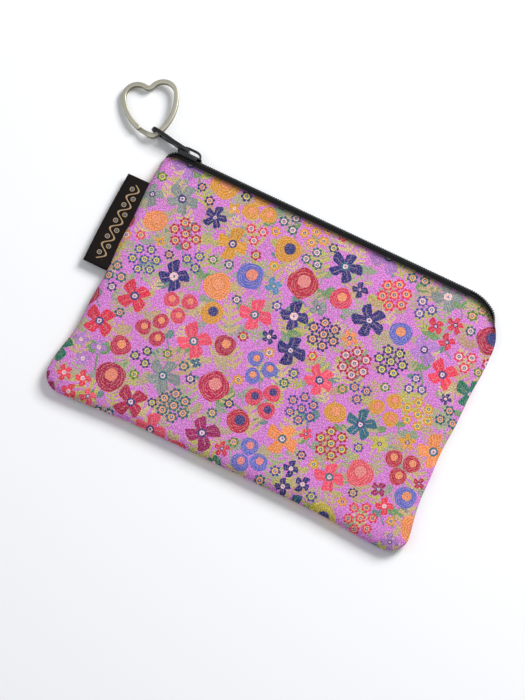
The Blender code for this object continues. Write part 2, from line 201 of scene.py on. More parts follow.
printLook = {
    "ground": "#CA6BC5", "groundLight": "#E497DE", "seed": 11, "lean": math.radians(26), "gap": 0.15,
    "width": 98, "height": 74,
    # kind, group size, spacing of the group's members, radius in mm, how many to try for, petals
    "groups": [
        ("flower", 1, 0, 8.2, 34, (4, 4, 5)), ("rose", 1, 0, 7.3, 14, (3, 4)),
        ("rose", 3, 4.6, 4.3, 12, (2, 3)), ("blossom", 7, 5.5, 2.8, 20, (6, 7)),
        ("rose", 1, 0, 5.6, 12, (2, 3)), ("flower", 3, 4.9, 4.4, 24, (4, 4, 5)),
        ("blossom", 4, 5.4, 2.85, 44, (6, 7)), ("flower", 1, 0, 6.4, 20, (4, 4, 5)),
        ("blossom", 3, 3.2, 2.75, 60, (6, 7)), ("flower", 1, 0, 4.2, 110, (4, 4, 5)),
        ("blossom", 1, 0, 2.65, 300, (6, 7)), ("flower", 1, 0, 3.0, 200, (4, 4, 5)),
    ],
    "behind": [("frond", 8.4, 200), ("leaf", 7.6, 260), ("frond", 5.6, 260), ("leaf", 4.8, 400)],
    "inks": {
        "flower": ["#F03A52", "#B8244A", "#F2506A", "#A02260", "#1B6C80", "#1E2C72", "#0F7458", "#F4924E",
                   "#1E2C72", "#14607A", "#84928E", "#C6BC42", "#4C8CB8", "#DA3048", "#E09E2E", "#B07CC6"],
        "rose": ["#C2204C", "#E03A5C", "#B21E46", "#F05A68", "#F4924E", "#C2263E", "#CDBC38", "#5A6CC8",
                 "#E09A2A"],
        "blossom": ["#16306E", "#0F6472", "#16306E", "#B8204A", "#E63452", "#DC9420", "#4C8228", "#0C626A",
                    "#39489A"],
        "frond": ["#C9B07C", "#D2BB88", "#BDB75E", "#B9A888", "#C4A47E", "#A9AE86"],
        "leaf": ["#C8B184", "#8EA288", "#BFB56A", "#6B9A62", "#B9A58C", "#5D8A88", "#C49A84", "#9AA09A"],
    },
    "hearts": {
        "flower": ["#2A3C78", "#23707C", "#2A3C78", "#F3C9C8"],
        "rose": ["#F09868", "#EE8C70", "#F09868", "#2F3F7C", "#E88A84"],
        "blossom": ["#F3A873", "#F0B46E", "#EE9C78", "#F1C6C0", "#D9C85A"],
        "frond": ["#C9B07C"],
        "leaf": ["#A99464"],
    },
}


def scatterMotifs():
    # dart throwing: the big groups first, each kept only where it clears all that are there already
    # by the sum of the radii and a gap; a group is a ring of members round a middle one
    dice = np.random.default_rng(printLook["seed"])
    placed, motifs = np.zeros((0, 3)), []
    reach = np.array([printLook["width"], printLook["height"]])
    for kind, members, spacing, radius, tries, petals in printLook["groups"]:
        for _ in range(1600):
            turn = dice.uniform(0, 2 * math.pi)
            k = np.arange(members)
            around = turn + 2 * math.pi * k / max(members - 1, 1) if members > 3 else turn + 2.1 * k
            far = np.where(k > 0, spacing, 0) if members > 3 else np.full(members, spacing * 1.05)
            far = far * (members > 1)
            middle = dice.uniform(-reach, reach)
            spots = middle + np.stack([np.cos(around), np.sin(around)], 1) * far[:, None]
            size = radius * dice.uniform(0.9, 1.06)
            if len(placed):
                gaps = np.linalg.norm(spots[:, None] - placed[None, :, :2], axis=2)
                gaps = gaps - placed[None, :, 2] - size
                if gaps.min() < printLook["gap"]:
                    continue
            ink, heart = dice.integers(0, 1000, 2)
            for spot in spots:
                lean = printLook["lean"] + dice.normal(0, 0.3)
                motifs.append((kind, *spot, size, lean, dice.choice(petals), ink, heart))
            claimed = size * (0.86 if kind == "flower" else 1)  # petals leave room between them
            placed = np.concatenate([placed, np.column_stack([spots, np.full(members, claimed)])])
            tries -= 1
            if tries == 0:
                break
    for kind, radius, tries in printLook["behind"]:
        others = np.zeros((0, 3))
        for _ in range(tries * 6):
            spot = dice.uniform(-reach, reach)
            size = radius * dice.uniform(0.85, 1.15)
            ink, heart, lean = dice.integers(0, 1000), 0, printLook["lean"] + dice.normal(0, 0.35)
            apart = np.hypot(others[:, 0] - spot[0], others[:, 1] - spot[1]) - others[:, 2] - size
            under = np.hypot(placed[:, 0] - spot[0], placed[:, 1] - spot[1]) - placed[:, 2] * 0.8
            if (len(others) and apart.min() < -0.6) or under.min() < -2.2:
                continue
            others = np.concatenate([others, [[*spot, size]]])
            motifs.append((kind, *spot, size, lean, 3, ink, heart))
    return motifs


def printOn(mesh, x, y):
    # each face is given, layer by layer, the motif it lies nearest to in that motif's own radii; its corners
    # carry their place in the motif, turned and divided by the radius, and the face carries the two inks
    corners = np.empty(len(mesh.loops), dtype=np.int32)
    mesh.loops.foreach_get("vertex_index", corners)
    cx, cy = x[corners], y[corners]
    fx, fy = cx.reshape(-1, 4).mean(1), cy.reshape(-1, 4).mean(1)
    for layer in printLook["inks"]:
        best, owner = np.full(len(fx), 1.45), np.full(len(fx), -1)
        chosen = [motif for motif in allMotifs if motif[0] == layer]
        table = np.array([motif[1:] for motif in chosen], float)
        for i, (mx, my, size) in enumerate(table[:, :3]):
            away = np.hypot(fx - mx, fy - my) / size
            nearer = away < best
            best[nearer], owner[nearer] = away[nearer], i
        own = table[owner]
        mx, my, size, turn, petals = [np.repeat(own[:, k], 4) for k in range(5)]
        dx, dy = (cx - mx) / size, (cy - my) / size
        u, v = dx * np.cos(turn) + dy * np.sin(turn), dy * np.cos(turn) - dx * np.sin(turn)
        none = np.repeat(owner < 0, 4)
        u[none], v[none] = 9, 9
        place = np.stack([u, v, petals + np.repeat(own[:, 5] % 97, 4) / 100], 1)
        carried = mesh.attributes.new(layer + "Place", "FLOAT_VECTOR", "CORNER")
        carried.data.foreach_set("vector", place.ravel())
        for column, name, inks in ((5, "Ink", printLook["inks"]), (6, "Heart", printLook["hearts"])):
            colours = np.array([linear(ink)[:3] for ink in inks[layer]])
            chosenInk = colours[(own[:, column] % len(colours)).astype(int)]
            carried = mesh.attributes.new(layer + name, "FLOAT_VECTOR", "FACE")
            carried.data.foreach_set("vector", chosenInk.ravel())


def motifLayer(tree, wobble, under, kind, unevenness):
    # one kind of motif, drawn over what lies under it from its carried place and inks:
    # length = sqrt(u^2 + v^2), angle = atan2(u, v); each coat is laid on in turn where its share is 1
    draw = partial(add, tree)
    parts = [draw("Attribute", attribute_name=kind + part) for part in ("Place", "Ink", "Heart")]
    place, ink, heart = [part.outputs["Vector"] for part in parts]
    chance = draw("SeparateXYZ", place).outputs[2]
    petals, luck = draw("FLOOR", chance), draw("FRACT", chance)
    shaken = draw("VectorMath", wobble, (unevenness, unevenness, 0), place, operation="MULTIPLY_ADD")
    u, v = draw("SeparateXYZ", shaken).outputs[:2]
    aside = draw("ABSOLUTE", u)
    length = draw("SQRT", draw("ADD", draw("MULTIPLY", u, u), draw("MULTIPLY", v, v)))
    angle = draw("ARCTAN2", u, v)
    tint, coats = 1.0, []
    if kind == "flower":  # paddles with blunt slanting ends, each a little shorter or paler than the next
        sector = draw("DIVIDE", draw("MULTIPLY", petals, angle), 2 * math.pi)
        sector = draw("ADD", sector, draw("MULTIPLY_ADD", luck, 5.0, 9.5))
        turn = draw("SUBTRACT", draw("FRACT", sector), 0.5)
        turn = draw("DIVIDE", draw("MULTIPLY", turn, 2 * math.pi), petals)
        along = draw("MULTIPLY", length, draw("COSINE", turn))
        across = draw("MULTIPLY", length, draw("SINE", turn))
        which = draw("SINE", draw("MULTIPLY_ADD", draw("FLOOR", sector), 12.9, luck))
        which = draw("FRACT", draw("MULTIPLY", which, 43.7))
        end = draw("ADD", draw("MULTIPLY_ADD", which, -0.2, 1.0), draw("MULTIPLY", across, 0.3))
        middle = draw("DIVIDE", draw("SUBTRACT", draw("DIVIDE", along, end), 0.57), 0.43)
        squared = draw("MAXIMUM", draw("SUBTRACT", 1.0, draw("POWER", draw("ABSOLUTE", middle), 5.0)), 0.0)
        broad = draw("MULTIPLY", draw("MULTIPLY_ADD", along, 0.62, 0.6), draw("DIVIDE", 1.42, petals))
        broad = draw("MULTIPLY", broad, draw("SQRT", squared))
        shape = draw("LESS_THAN", draw("ABSOLUTE", across), broad)
        shape = draw("MAXIMUM", shape, draw("LESS_THAN", length, 0.26))
        strokes = draw("MULTIPLY_ADD", across, 38.0, draw("SINE", draw("MULTIPLY", along, 9.0)))
        strokes = draw("MULTIPLY", draw("SINE", strokes), 0.14)
        tint = draw("ADD", draw("MULTIPLY_ADD", which, 0.24, 0.88), strokes)
        fold = draw("LESS_THAN", draw("ABSOLUTE", draw("ADD", across, 0.04)), 0.018)
        fold = draw("MULTIPLY", fold, draw("LESS_THAN", along, 0.72))
        coats = [(draw("MULTIPLY", fold, 0.4), linear("#F3C7B8")),
                 (draw("LESS_THAN", length, 0.25), heart),
                 (draw("LESS_THAN", length, 0.14), linear("#F2C6D2")),
                 (draw("LESS_THAN", length, 0.055), linear("#23707C"))]
    elif kind == "rose":  # broken rings, pale and dark, round a heart that sits off centre
        swing = draw("SINE", draw("MULTIPLY_ADD", length, 5.0, draw("MULTIPLY", angle, 2.0)))
        rings = draw("ADD", draw("MULTIPLY_ADD", swing, 0.2, draw("MULTIPLY", length, 6.2)), luck)
        broken = draw("SINE", draw("MULTIPLY_ADD", length, 11.0, draw("MULTIPLY", angle, 3.0)))
        paleLine = draw("LESS_THAN", draw("FRACT", rings), 0.26)
        paleLine = draw("MULTIPLY", paleLine, draw("GREATER_THAN", broken, -0.6))
        darkLine = draw("LESS_THAN", draw("FRACT", draw("ADD", rings, 0.5)), 0.2)
        dark = draw("VectorMath", {0: ink, "Scale": 0.74}, operation="SCALE")
        offU, offV = draw("SUBTRACT", u, 0.1), draw("ADD", v, -0.12)
        off = draw("SQRT", draw("ADD", draw("POWER", offU, 2.0), draw("POWER", offV, 2.0)))
        coats = [(draw("MULTIPLY", paleLine, 0.36), linear("#F6C0AC")),
                 (darkLine, dark),
                 (draw("LESS_THAN", off, 0.45), dark),
                 (draw("LESS_THAN", off, 0.4), heart)]
        edge = draw("SINE", draw("MULTIPLY_ADD", angle, petals, draw("MULTIPLY", luck, 9.0)))
        shape = draw("LESS_THAN", length, draw("MULTIPLY_ADD", edge, 0.05, 0.93))
    elif kind == "blossom":  # a scalloped ring, its filling, and a ringed dot
        wave = draw("COSINE", draw("MULTIPLY_ADD", angle, draw("MULTIPLY", petals, 0.5), luck))
        wave = draw("POWER", draw("ABSOLUTE", wave), 0.7)
        shape = draw("LESS_THAN", length, draw("MULTIPLY_ADD", wave, 0.4, 0.58))
        coats = [(draw("LESS_THAN", length, 0.54), heart),
                 (draw("LESS_THAN", length, 0.28), linear("#2C5C86")),
                 (draw("LESS_THAN", length, 0.13), linear("#D9C2C8"))]
    elif kind == "frond":  # slanting leaflets either side of a stem, inside a leaf-shaped outline
        leaflet = draw("FRACT", draw("MULTIPLY_ADD", aside, -1.5, draw("MULTIPLY", v, 2.4)))
        outline = draw("SUBTRACT", 1.0, draw("POWER", draw("ABSOLUTE", v), 2.0))
        outline = draw("LESS_THAN", aside, draw("MULTIPLY", outline, 0.66))
        shape = draw("MAXIMUM", draw("LESS_THAN", leaflet, 0.56), draw("LESS_THAN", aside, 0.07))
        shape = draw("MULTIPLY", draw("MULTIPLY", shape, outline), draw("LESS_THAN", length, 1.2))
    else:  # two scalloped leaves that lean out from one stem
        far = draw("ADD", draw("MULTIPLY", aside, 0.72), draw("MULTIPLY", v, 0.69))
        athwart = draw("SUBTRACT", draw("MULTIPLY", v, 0.72), draw("MULTIPLY", aside, 0.69))
        bulge = draw("SUBTRACT", 1.0, draw("POWER", draw("MULTIPLY_ADD", far, 2.4, -1.15), 2.0))
        bulge = draw("SQRT", draw("MAXIMUM", bulge, 0.0))
        scallop = draw("ABSOLUTE", draw("SINE", draw("MULTIPLY", far, 15.0)))
        scallop = draw("MULTIPLY", bulge, draw("MULTIPLY_ADD", scallop, 0.07, 0.27))
        leaves = draw("LESS_THAN", draw("ABSOLUTE", athwart), scallop)
        stem = draw("LESS_THAN", draw("ABSOLUTE", draw("ADD", v, 0.45)), 0.5)
        stem = draw("MULTIPLY", draw("LESS_THAN", aside, 0.06), stem)
        shape = draw("MULTIPLY", draw("MAXIMUM", leaves, stem), draw("LESS_THAN", length, 1.3))
        strokes = draw("SINE", draw("MULTIPLY_ADD", athwart, 34.0, draw("MULTIPLY", far, 20.0)))
        tint = draw("MULTIPLY_ADD", strokes, 0.17, 0.98)
        coats = [(draw("LESS_THAN", draw("ABSOLUTE", athwart), 0.02), heart)]
    colour = draw("VectorMath", {0: ink, "Scale": tint}, operation="SCALE")
    for share, coat in coats:
        colour = draw("Mix", {0: share, 6: colour, 7: coat}, data_type="RGBA").outputs[2]
    return draw("Mix", {0: shape, 6: under, 7: colour}, data_type="RGBA").outputs[2]


def printedCotton():
    # reactive-printed cotton canvas: flat inks broken up by the weave, quite matt
    material, tree, shader = newMaterial("printed_cotton_canvas")
    draw = partial(add, tree)
    place = draw("Attribute", attribute_name="clothPlace").outputs["Vector"]
    wander = draw("TexNoise", {"Vector": place, "Scale": 0.9, "Detail": 2.0})
    wobble = draw("VectorMath", wander.outputs["Color"], (0.5, 0.5, 0.5), operation="SUBTRACT").outputs[0]
    brush = draw("TexNoise", {"Vector": place, "Scale": 1.1, "Detail": 4.0, "Roughness": 0.8})
    brushShare = draw("MapRange", {0: brush.outputs["Fac"], 1: 0.4, 2: 0.62})
    ground, groundLight = linear(printLook["ground"]), linear(printLook["groundLight"])
    colour = draw("Mix", {0: brushShare, 6: ground, 7: groundLight}, data_type="RGBA").outputs[2]
    coats = {"leaf": 0.16, "frond": 0.16, "flower": 0.12, "rose": 0.14, "blossom": 0.2}
    for kind, unevenness in coats.items():
        colour = motifLayer(tree, wobble, colour, kind, unevenness)
    # dry specks where the ink missed the thread tops, drawn at 0.6 mm so that they show
    specks = draw("TexNoise", {"Vector": place, "Scale": 1.7, "Detail": 2.0, "Roughness": 0.7})
    speckShare = draw("MapRange", {0: specks.outputs["Fac"], 1: 0.5, 2: 0.66, 3: 0.0, 4: 0.42})
    colour = draw("Mix", {0: speckShare, 6: colour, 7: linear("#DDB2C4")}, data_type="RGBA").outputs[2]
    tone = draw("TexNoise", {"Vector": place, "Scale": 1.9, "Detail": 2.0, "Roughness": 0.8})
    toneBy = draw("MapRange", {0: tone.outputs["Fac"], 1: 0.36, 2: 0.64, 3: 0.42, 4: 1.44})
    # painted shade: the print is darkened towards the zip fold, multiplied in with the random tone
    paintedShade = draw("Attribute", attribute_name="paintedFoldShade").outputs["Fac"]
    shade = draw("MULTIPLY", toneBy, paintedShade)
    colour = draw("VectorMath", {0: colour, "Scale": shade}, operation="SCALE").outputs[0]
    # plain weave at 0.6 mm, coarser than the real 0.4 mm so that it shows
    threads = {"Vector": place, "Scale": 0.52, "Distortion": 0.6, "Detail Scale": 1.0}
    warp, weft = [draw("TexWave", threads, bands_direction=way).outputs["Fac"] for way in "XY"]
    weave = draw("MULTIPLY", warp, weft)
    height = draw("ADD", weave, specks.outputs["Fac"])
    surface(tree, shader, colour, weave, (0.92, 0.76), height, 0.4, 0.14 * mm)
    shader.inputs["Specular IOR Level"].default_value = 0.15
    return material


def plainCloth(name, colour, pitch, roughness):
    # an undyed or dyed plain weave, seen as two crossing rows of threads: scale = 2 pi / (20 * pitch)
    material, tree, shader = newMaterial(name)
    draw = partial(add, tree)
    place = draw("TexCoord").outputs["Object"]
    threads = {"Vector": place, "Scale": 2 * math.pi / (20 * pitch * mm), "Distortion": 0.4}
    warp, weft = [draw("TexWave", threads, bands_direction=way).outputs["Fac"] for way in "XY"]
    fleck = draw("TexNoise", {"Vector": place, "Scale": 900.0, "Detail": 3.0}).outputs["Fac"]
    both = draw("ADD", draw("MULTIPLY", warp, weft), fleck)
    dark = [c * 0.72 for c in linear(colour)[:3]] + [1]
    share = draw("MapRange", {0: both, 1: 0.3, 2: 1.2})
    mixed = draw("Mix", {0: share, 6: dark, 7: linear(colour)}, data_type="RGBA").outputs[2]
    surface(tree, shader, mixed, fleck, (roughness - 0.08, roughness + 0.08), both, 0.5, 0.1 * mm)
    return material


def wovenTape():
    # spun polyester twill tape: fine slanting ribs, deep black, matt
    material, tree, shader = newMaterial("polyester_twill_tape")
    draw = partial(add, tree)
    place = draw("Attribute", attribute_name="clothPlace").outputs["Vector"]
    turned = draw("Mapping", {"Vector": place, "Rotation": (0, 0, math.radians(58))})
    ribs = {"Vector": turned, "Scale": 0.45, "Distortion": 0.8}
    ribs = draw("TexWave", ribs, bands_direction="X").outputs["Fac"]
    fleck = draw("TexNoise", {"Vector": place, "Scale": 3.0, "Detail": 3.0}).outputs["Fac"]
    both = draw("MULTIPLY", ribs, fleck)
    dark, light = linear("#040405"), linear("#161618")
    mixed = draw("Mix", {0: both, 6: dark, 7: light}, data_type="RGBA").outputs[2]
    surface(tree, shader, mixed, fleck, (0.72, 0.92), both, 0.6, 0.12 * mm)
    shader.inputs["Specular IOR Level"].default_value = 0.2
    return material


def nylonCoil():
    # drawn nylon monofilament: smooth black plastic with a soft gleam on each loop
    material, tree, shader = newMaterial("nylon_monofilament")
    draw = partial(add, tree)
    place = draw("TexCoord").outputs["Object"]
    haze = draw("TexNoise", {"Vector": place, "Scale": 1400.0, "Detail": 2.0}).outputs["Fac"]
    dark, light = linear("#0B0B0D"), linear("#242428")
    mixed = draw("Mix", {0: haze, 6: dark, 7: light}, data_type="RGBA").outputs[2]
    surface(tree, shader, mixed, haze, (0.2, 0.36))
    shader.inputs["IOR"].default_value = 1.53
    return material


def bakedEnamel():
    # black stoving enamel on zinc: semi-gloss, a slight orange peel, and rubbed paler on its edges
    material, tree, shader = newMaterial("black_stoving_enamel")
    draw = partial(add, tree)
    place = draw("TexCoord").outputs["Object"]
    peel = draw("TexNoise", {"Vector": place, "Scale": 700.0, "Detail": 2.0}).outputs["Fac"]
    rub = draw("TexNoise", {"Vector": place, "Scale": 260.0, "Detail": 5.0, "Roughness": 0.7}).outputs["Fac"]
    onEdge = draw("MapRange", {0: draw("NewGeometry").outputs["Pointiness"], 1: 0.53, 2: 0.6})
    worn = draw("MULTIPLY", onEdge, rub)
    dark, light = linear("#060607"), linear("#343436")
    mixed = draw("Mix", {0: worn, 6: dark, 7: light}, data_type="RGBA").outputs[2]
    surface(tree, shader, mixed, rub, (0.26, 0.46), peel, 0.2, 0.04 * mm)
    return material


def satinNickel():
    # nickel plate tumbled to a satin: warm grey metal, soft reflections, fine scuffs from rubbing
    material, tree, shader = newMaterial("satin_nickel_plate")
    place = add(tree, "TexCoord").outputs["Object"]
    grit = {"Vector": place, "Scale": 900.0, "Detail": 5.0, "Roughness": 0.65, "Distortion": 1.5}
    scuffs = add(tree, "TexNoise", grit)
    tarnish = add(tree, "TexNoise", {"Vector": place, "Scale": 90.0, "Detail": 3.0})
    dark, light = linear("#B9B5A2"), linear("#D6D2C0")
    mixed = add(tree, "Mix", {0: tarnish.outputs["Fac"], 6: dark, 7: light}, data_type="RGBA")
    # painted shade and reflection: the walls are darkened to a duller plating colour, in place of the dark
    # surroundings they would reflect, while the flat faces keep the bright plating
    facing = add(tree, "SeparateXYZ", {0: add(tree, "TexCoord").outputs["Normal"]}).outputs[2]
    flatness = add(tree, "ABSOLUTE", facing).outputs[0]
    clearOfPaintedShade = add(tree, "MapRange", {0: flatness, 1: 0.15, 2: 0.8}).outputs[0]
    mixed = add(tree, "Mix", {0: clearOfPaintedShade, 6: linear("#6F6B5D"), 7: mixed.outputs[2]}, data_type="RGBA")
    tree.links.new(mixed.outputs[2], shader.inputs["Base Color"])
    shader.inputs["Metallic"].default_value = 1.0
    rough = add(tree, "MapRange", {0: scuffs.outputs["Fac"], 1: 0.3, 2: 0.7, 3: 0.36, 4: 0.52})
    tree.links.new(rough.outputs[0], shader.inputs["Roughness"])
    bump = add(tree, "Bump", {"Strength": 0.25, "Distance": 0.00003, "Height": scuffs.outputs["Fac"]})
    tree.links.new(bump.outputs[0], shader.inputs["Normal"])
    return material


def wovenLabel():
    # damask-woven polyester label: dark satin ground, fine cross ribs, and a winding stem with ringed buds in
    # tan and blue thread: across = 2 sin(along), a bud in each bend
    material, tree, shader = newMaterial("damask_woven_label")
    draw = partial(add, tree)
    place = draw("Attribute", attribute_name="clothPlace").outputs["Vector"]  # mm: across, along
    across, along = draw("SeparateXYZ", place).outputs[:2]
    centred = draw("SUBTRACT", across, 4.2)
    swing = draw("SINE", draw("MULTIPLY", along, 2 * math.pi / 8.4))
    stem = draw("ABSOLUTE", draw("SUBTRACT", centred, draw("MULTIPLY", swing, 2.0)))
    side = draw("MULTIPLY", draw("SIGN", swing), -1.3)
    step = draw("PINGPONG", draw("SUBTRACT", along, 2.1), 2.1)
    bud = draw("ADD", draw("POWER", draw("SUBTRACT", centred, side), 2.0), draw("POWER", step, 2.0))
    bud = draw("SQRT", bud)
    budRing = draw("MULTIPLY", draw("LESS_THAN", bud, 1.15), draw("GREATER_THAN", bud, 0.75))
    inEnds = draw("LESS_THAN", draw("ABSOLUTE", draw("SUBTRACT", along, 22.8)), 19.6)
    drawn = draw("MULTIPLY", draw("MAXIMUM", draw("LESS_THAN", stem, 0.42), budRing), inEnds)
    core = draw("MULTIPLY", draw("LESS_THAN", bud, 0.42), inEnds)
    threads = draw("TexWave", {"Vector": place, "Scale": 0.9, "Distortion": 0.5}, bands_direction="Y")
    fleck = draw("TexNoise", {"Vector": place, "Scale": 4.0, "Detail": 3.0})
    dark, tan = linear("#0C0706"), linear("#8C6F4E")
    ground = draw("Mix", {0: fleck, 6: dark, 7: linear("#1B120F")}, data_type="RGBA").outputs[2]
    tan = draw("Mix", {0: threads.outputs["Fac"], 6: tan, 7: linear("#CDB08A")}, data_type="RGBA").outputs[2]
    colour = draw("Mix", {0: drawn, 6: ground, 7: tan}, data_type="RGBA").outputs[2]
    colour = draw("Mix", {0: core, 6: colour, 7: linear("#5E84A4")}, data_type="RGBA").outputs[2]
    height = draw("ADD", threads.outputs["Fac"], draw("MAXIMUM", drawn, core))
    surface(tree, shader, colour, fleck, (0.55, 0.8), height, 0.5, 0.1 * mm)
    shader.inputs["Specular IOR Level"].default_value = 0.15
    return material


print("materials")
allMotifs = scatterMotifs()
print("motifs", len(allMotifs))
cotton = printedCotton()
twill = wovenTape()
nylon = nylonCoil()
enamel = bakedEnamel()
nickel = satinNickel()
damask = wovenLabel()
interliningCloth = plainCloth("cotton_interlining", "#E6E3DA", 0.7, 0.88)
liningCloth = plainCloth("cotton_lining", "#27272B", 0.45, 0.82)
threadCloth = plainCloth("polyester_thread", "#141416", 0.5, 0.6)

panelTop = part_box("front_panel")[1][2]
bag = {
    "half": 88.3 * mm, "flare": 2.7 * mm, "waist": 0.8 * mm,
    "top": 58.5 * mm, "bottom": -61.6 * mm, "cornerDrop": 2.0 * mm,
    "bottomRadius": 9 * mm, "leftRadius": 6.5 * mm, "rightRadius": 20 * mm,
    "zipHeight": panelTop, "bodyHeight": 6.9 * mm,
    "edgeAtZip": 4.2 * mm, "edgeBelow": 4.8 * mm,
    "clothThick": 0.5 * mm, "foldRadius": 0.75 * mm,
    "fineLines": 16, "fineReach": 8 * mm, "coarseStep": 0.8 * mm,
    "pucker": 0.22 * mm, "puckerReach": 5 * mm,
    # the last two: how deep and how far the painted shade beside the zip fold reaches
    "swell": 0.42 * mm, "seamRidge": 0.22 * mm, "paintedShadeDepth": 0.88, "paintedShadeReach": 2.6 * mm,
}


def roundCorner(side, rise, radius):
    # a square corner's distances in from its edges become those of a quarter circle:
    # s, t -> s * sqrt(1 - t^2 / 2), t * sqrt(1 - s^2 / 2)
    s, t = np.clip(1 - side / radius, 0, 1), np.clip(1 - rise / radius, 0, 1)
    inside = (side < radius) & (rise < radius)
    newSide = np.where(inside, radius * (1 - s * np.sqrt(1 - t * t / 2)), side)
    newRise = np.where(inside, radius * (1 - t * np.sqrt(1 - s * s / 2)), rise)
    return newSide, newRise


def halfWidthAt(y):
    # half width + flare * smooth step down to the bottom - waist * smooth step round a waist at y = -10 mm
    flare = smoothStep((-30 * mm - y) / (28 * mm))
    waist = 1 - smoothStep(abs(y + 10 * mm) / (45 * mm))
    return bag["half"] + bag["flare"] * flare - bag["waist"] * waist


def linesFrom(reach):  # distances from a seam to the middle: reach * (k / n)^2 close to the seam, then even
    fine = bag["fineReach"] * (np.arange(bag["fineLines"]) / bag["fineLines"]) ** 1.7
    count = int((reach - bag["fineReach"]) / bag["coarseStep"])
    return np.concatenate([fine, np.linspace(bag["fineReach"], reach, count)])


def panelSurface(front):
    # columns at distances from both side seams, rows at shares of the way from the bottom seam to the zip
    # fold, which drops away in a quarter circle at each end.
    # height = seam height + (full height - seam height) * quarter ellipse of the distance to the seam,
    # plus a soft swell (sum of slow sines), puckers that fade from the seam, and a ridge over the allowance
    inwardLine = linesFrom(bag["half"])
    side = np.concatenate([-np.ones(len(inwardLine)), np.ones(len(inwardLine) - 1)])
    inward0 = np.concatenate([inwardLine, inwardLine[:-1][::-1]])
    side[len(inwardLine) - 1] = 0
    tall = bag["top"] - bag["bottom"]
    rise0 = linesFrom(tall) / tall
    side, rise0 = np.meshgrid(side, rise0)
    inward = np.broadcast_to(inward0, side.shape).copy()
    x = side * (bag["half"] - inward)
    bottom = bag["bottom"] - bag["cornerDrop"] * smoothStep((abs(x) - 40 * mm) / (40 * mm))
    topRadius = np.where(side < 0, bag["leftRadius"], bag["rightRadius"])
    past = np.clip(1 - inward / topRadius, 0, 1)
    top = bag["top"] - topRadius * (1 - np.sqrt(1 - past**2))
    y = bottom + rise0 * (top - bottom)
    inward, rise = roundCorner(inward, y - bottom, bag["bottomRadius"])
    y = bottom + rise
    wobble = 0.25 * mm * np.sin(y / mm * 0.21 + side) * np.exp(-inward / (6 * mm))
    x = side * (halfWidthAt(y) - inward + wobble)
    inCorner = (inward < bag["bottomRadius"]) & (rise < bag["bottomRadius"])
    cornerGap = bag["bottomRadius"] - np.hypot(bag["bottomRadius"] - inward, bag["bottomRadius"] - rise)
    seam = np.maximum(np.where(inCorner, cornerGap, np.minimum(inward, rise)), 0)
    lip = bag["edgeAtZip"] + (bag["edgeBelow"] - bag["edgeAtZip"]) * smoothStep((50 * mm - y) / (18 * mm))
    risen = np.sqrt(1 - np.clip(1 - seam / lip, 0, 1) ** 2)
    xMm, yMm = x / mm, y / mm
    along = np.where(rise < inward, xMm, yMm)
    fade = np.exp(-seam / bag["puckerReach"]) * smoothStep(seam / (1.2 * mm)) * smoothStep((52 - yMm) / 10)
    wave = np.sin(along * 0.83 + np.sin(along * 0.17) * 2) + 0.5 * np.sin(along * 1.9 + 1)
    pucker = bag["pucker"] * fade * wave
    ridge = bag["seamRidge"] * np.exp(-(((seam - 6.5 * mm) / (1.6 * mm)) ** 2)) * smoothStep((50 - yMm) / 8)
    swell = np.sin(xMm * 0.043 + 0.6) * np.sin(yMm * 0.058 + 0.4)
    swell += 0.5 * np.sin(xMm * 0.09 - yMm * 0.05 + 1.7)
    swell += 0.35 * np.sin(xMm * 0.15 + yMm * 0.19) + 0.25 * np.sin(xMm * 0.31 - yMm * 0.11 + 2.0)
    if front:
        full = bag["bodyHeight"] + (bag["zipHeight"] - bag["bodyHeight"]) * smoothStep((yMm - 34) / 12)
        soft = smoothStep(seam / (14 * mm)) * smoothStep((54 - yMm) / 16)
        full = full + bag["swell"] * soft * (swell + 0.9) + pucker + ridge
        z = midHeight + 0.08 * mm + (full - midHeight) * risen
    else:
        low = np.maximum(pucker, 0) * 0.6
        z = midHeight - 0.08 * mm + (low - midHeight) * risen
    # how far each point is from the fold, for the painted shade that darkens the print beside the zip
    beyond = np.maximum(topRadius - inward, 0)
    fromFold = topRadius - np.hypot(beyond, np.maximum(topRadius - (bag["top"] - y), 0))
    near = np.clip(1 - fromFold / bag["paintedShadeReach"], 0, 1) * smoothStep((inward - 1 * mm) / (3 * mm))
    # painted shade: the print's colour is multiplied down towards the zip fold, in place of the shade where
    # the cloth rolls over
    paintedShade = 1 - bag["paintedShadeDepth"] * near**1.3
    # the fold beside the zip: the last row rolls over and down by foldRadius
    ahead = np.gradient(np.stack([x[-1], y[-1]], 1), axis=0)
    ahead /= np.linalg.norm(ahead, axis=1)[:, None] + 1e-12
    outward = np.stack([-ahead[:, 1], ahead[:, 0]], 1)
    turns = np.radians([25, 50, 75, 100, 130])[:, None]
    roll = bag["foldRadius"] * np.clip(abs(z[-1] - midHeight) / (3 * mm), 0.02, 1)
    way = 1 if front else -1
    foldX = x[-1] + outward[:, 0] * roll * np.sin(turns)
    foldY = y[-1] + outward[:, 1] * roll * np.sin(turns)
    foldZ = z[-1] - way * roll * (1 - np.cos(turns))
    flatY = np.concatenate([y, y[-1] + bag["foldRadius"] * turns])
    flatX = np.concatenate([x, np.broadcast_to(x[-1], foldX.shape)])
    paintedShade = np.concatenate([paintedShade, np.broadcast_to(paintedShade[-1], foldX.shape)])
    x, y, z = [np.concatenate(pair) for pair in ((x, foldX), (y, foldY), (z, foldZ))]
    points = np.stack([x, y, z], 2)
    place = np.stack([flatX / mm, flatY / mm, np.zeros_like(flatX)], 2)
    if not front:
        place = -place
    faces = gridFaces(*x.shape)
    return points.reshape(-1, 3), faces if front else faces[:, ::-1], place.reshape(-1, 3), paintedShade.ravel()


